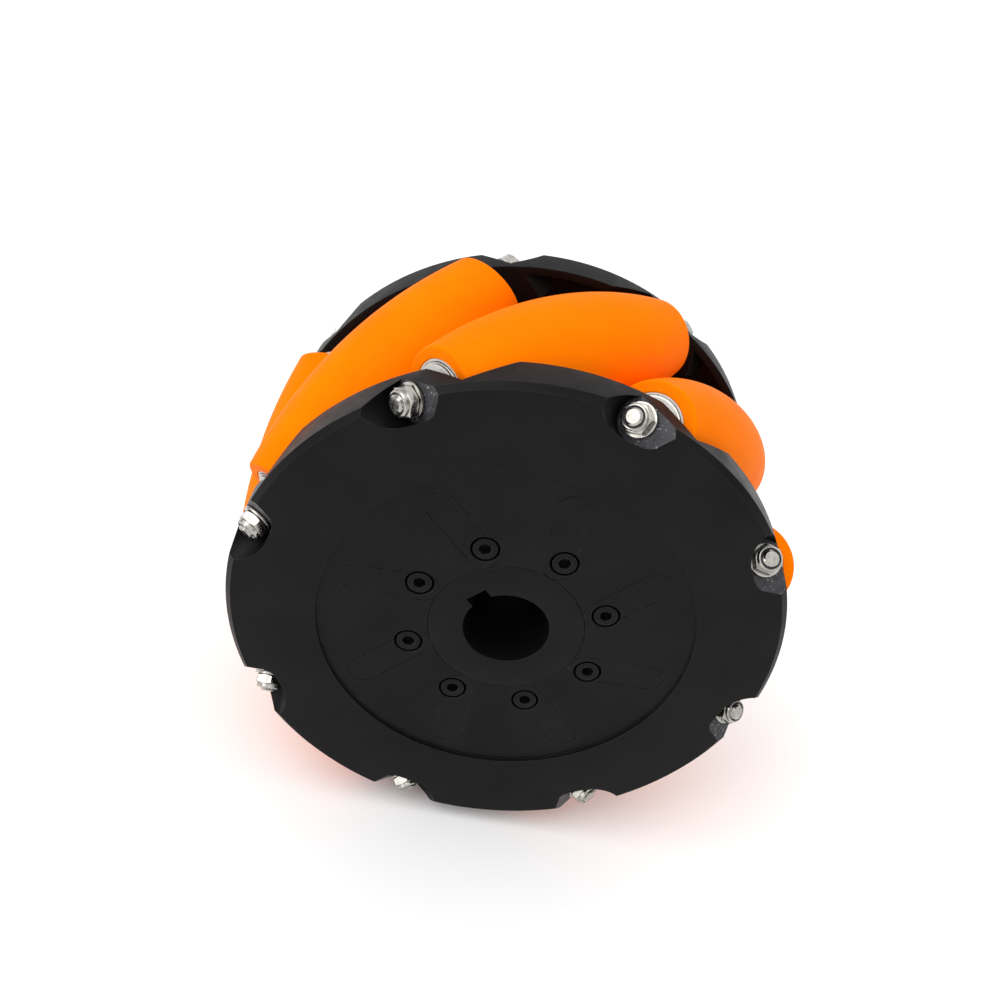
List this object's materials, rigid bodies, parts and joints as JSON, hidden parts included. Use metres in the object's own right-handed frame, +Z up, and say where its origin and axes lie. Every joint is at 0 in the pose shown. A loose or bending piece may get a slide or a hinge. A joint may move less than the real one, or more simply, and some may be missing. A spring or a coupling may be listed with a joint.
{
  "type": "mecanum wheel",
  "caption": "Wide omnidirectional drive wheel: barrel rollers on slanted axles between two side plates bolted to a keyed hub.",
  "frame": {"origin": "centre of the wheel, on the hub bore's axis half way between the two sides", "axes": "+Y along the wheel's own axis from the outer side to the inner side, +Z up through the axle of the first roller, +X right as seen from the outer side"},
  "size_m": [0.2032, 0.1062, 0.2032],
  "materials": {
    "black_anodised_aluminium": "fine bead-blasted black anodising, machined marks in the pockets",
    "orange_polyurethane": "smooth satin cast polyurethane",
    "bright_steel": "bright stainless fasteners",
    "black_oxide_steel": "black oxide, slightly oily sheen",
    "white_nylon": "off-white plain bearing plastic"
  },
  "bodies": {
    "wheel_frame": {"axle_bolt_1": "bright_steel", "axle_bolt_2": "bright_steel", "axle_bolt_3": "bright_steel", "axle_bolt_4": "bright_steel", "axle_bolt_5": "bright_steel", "axle_bolt_6": "bright_steel", "axle_bolt_7": "bright_steel", "axle_bolt_8": "bright_steel", "bearing_inner_1": "white_nylon", "bearing_inner_2": "white_nylon", "bearing_inner_3": "white_nylon", "bearing_inner_4": "white_nylon", "bearing_inner_5": "white_nylon", "bearing_inner_6": "white_nylon", "bearing_inner_7": "white_nylon", "bearing_inner_8": "white_nylon", "bearing_outer_1": "white_nylon", "bearing_outer_2": "white_nylon", "bearing_outer_3": "white_nylon", "bearing_outer_4": "white_nylon", "bearing_outer_5": "white_nylon", "bearing_outer_6": "white_nylon", "bearing_outer_7": "white_nylon", "bearing_outer_8": "white_nylon", "hub": "black_anodised_aluminium", "hub_screw_inner_1": "black_oxide_steel", "hub_screw_inner_2": "black_oxide_steel", "hub_screw_inner_3": "black_oxide_steel", "hub_screw_inner_4": "black_oxide_steel", "hub_screw_inner_5": "black_oxide_steel", "hub_screw_inner_6": "black_oxide_steel", "hub_screw_inner_7": "black_oxide_steel", "hub_screw_inner_8": "black_oxide_steel", "hub_screw_outer_1": "black_oxide_steel", "hub_screw_outer_2": "black_oxide_steel", "hub_screw_outer_3": "black_oxide_steel", "hub_screw_outer_4": "black_oxide_steel", "hub_screw_outer_5": "black_oxide_steel", "hub_screw_outer_6": "black_oxide_steel", "hub_screw_outer_7": "black_oxide_steel", "hub_screw_outer_8": "black_oxide_steel", "inner_plate": "black_anodised_aluminium", "lock_nut_1": "bright_steel", "lock_nut_2": "bright_steel", "lock_nut_3": "bright_steel", "lock_nut_4": "bright_steel", "lock_nut_5": "bright_steel", "lock_nut_6": "bright_steel", "lock_nut_7": "bright_steel", "lock_nut_8": "bright_steel", "outer_plate": "black_anodised_aluminium"},
    "roller_1": {"roller_1": "orange_polyurethane"},
    "roller_2": {"roller_2": "orange_polyurethane"},
    "roller_3": {"roller_3": "orange_polyurethane"},
    "roller_4": {"roller_4": "orange_polyurethane"},
    "roller_5": {"roller_5": "orange_polyurethane"},
    "roller_6": {"roller_6": "orange_polyurethane"},
    "roller_7": {"roller_7": "orange_polyurethane"},
    "roller_8": {"roller_8": "orange_polyurethane"}
  },
  "joints": [
    {"name": "roller_1_spin", "type": "hinge", "parent": "wheel_frame", "child": "roller_1", "pos_m": [0, 0, 0.0786], "axis": [0.7071, 0.7071, 0], "continuous": true},
    {"name": "roller_2_spin", "type": "hinge", "parent": "wheel_frame", "child": "roller_2", "pos_m": [0.05558, 0, 0.05558], "axis": [0.5, 0.7071, -0.5], "continuous": true},
    {"name": "roller_3_spin", "type": "hinge", "parent": "wheel_frame", "child": "roller_3", "pos_m": [0.0786, 0, 0], "axis": [0, 0.7071, -0.7071], "continuous": true},
    {"name": "roller_4_spin", "type": "hinge", "parent": "wheel_frame", "child": "roller_4", "pos_m": [0.05558, 0, -0.05558], "axis": [-0.5, 0.7071, -0.5], "continuous": true},
    {"name": "roller_5_spin", "type": "hinge", "parent": "wheel_frame", "child": "roller_5", "pos_m": [0, 0, -0.0786], "axis": [-0.7071, 0.7071, 0], "continuous": true},
    {"name": "roller_6_spin", "type": "hinge", "parent": "wheel_frame", "child": "roller_6", "pos_m": [-0.05558, 0, -0.05558], "axis": [-0.5, 0.7071, 0.5], "continuous": true},
    {"name": "roller_7_spin", "type": "hinge", "parent": "wheel_frame", "child": "roller_7", "pos_m": [-0.0786, 0, 0], "axis": [0, 0.7071, 0.7071], "continuous": true},
    {"name": "roller_8_spin", "type": "hinge", "parent": "wheel_frame", "child": "roller_8", "pos_m": [-0.05558, 0, 0.05558], "axis": [0.5, 0.7071, 0.5], "continuous": true}
  ]
}
